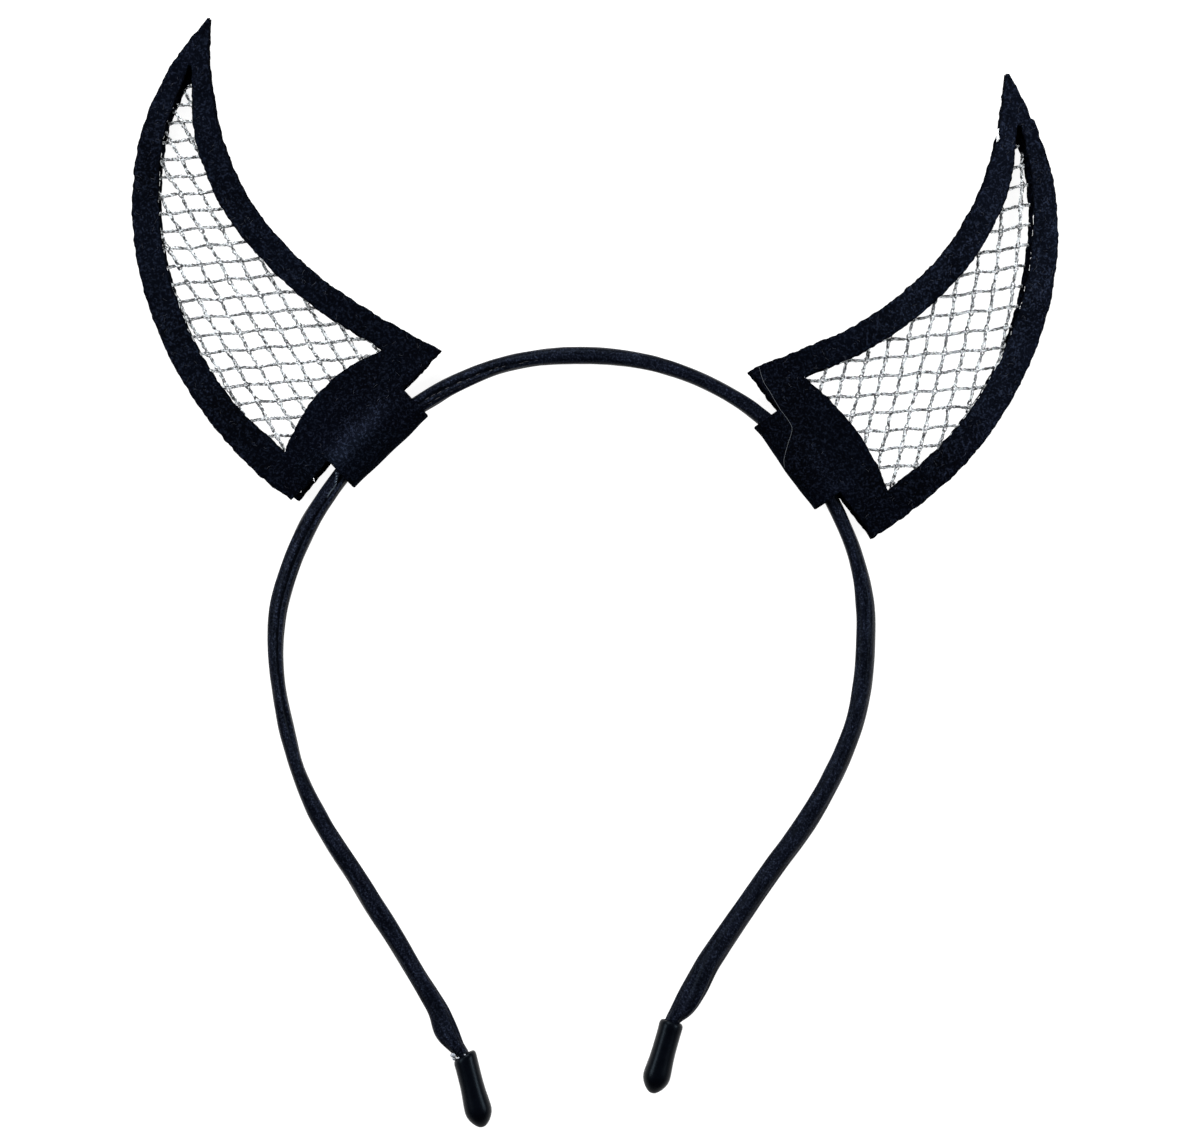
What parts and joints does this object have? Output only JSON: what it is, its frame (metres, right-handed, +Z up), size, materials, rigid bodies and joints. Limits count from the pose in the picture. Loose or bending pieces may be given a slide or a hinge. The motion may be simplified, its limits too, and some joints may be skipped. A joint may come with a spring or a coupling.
{
  "type": "devil horns headband",
  "caption": "Thin satin-covered headband with rubber end tips and flat felt devil horns, each with a crescent window of coarse silver net.",
  "frame": {"origin": "centre of the bounding box, on the surface the headband lies on", "axes": "+Z up, away from the surface it lies on; +Y in the plane of the band from the rubber tips towards the horns; +X to the right, as seen from above with the horns at the top"},
  "size_m": [0.1852, 0.222, 0.0076],
  "materials": {
    "spring": "plain spring strip, hidden in the sleeve",
    "satin": "black satin with a soft sheen",
    "rubber": "black semi-gloss rubber",
    "felt": "near-black felt with a fine speckle of fibres",
    "net": "silver metallic yarn"
  },
  "bodies": {
    "root": {"band_core": "spring", "band_cover": "satin", "tip_left": "rubber", "tip_right": "rubber", "horn_left": "felt", "horn_right": "felt", "net_left": "net", "net_right": "net"}
  },
  "joints": []
}
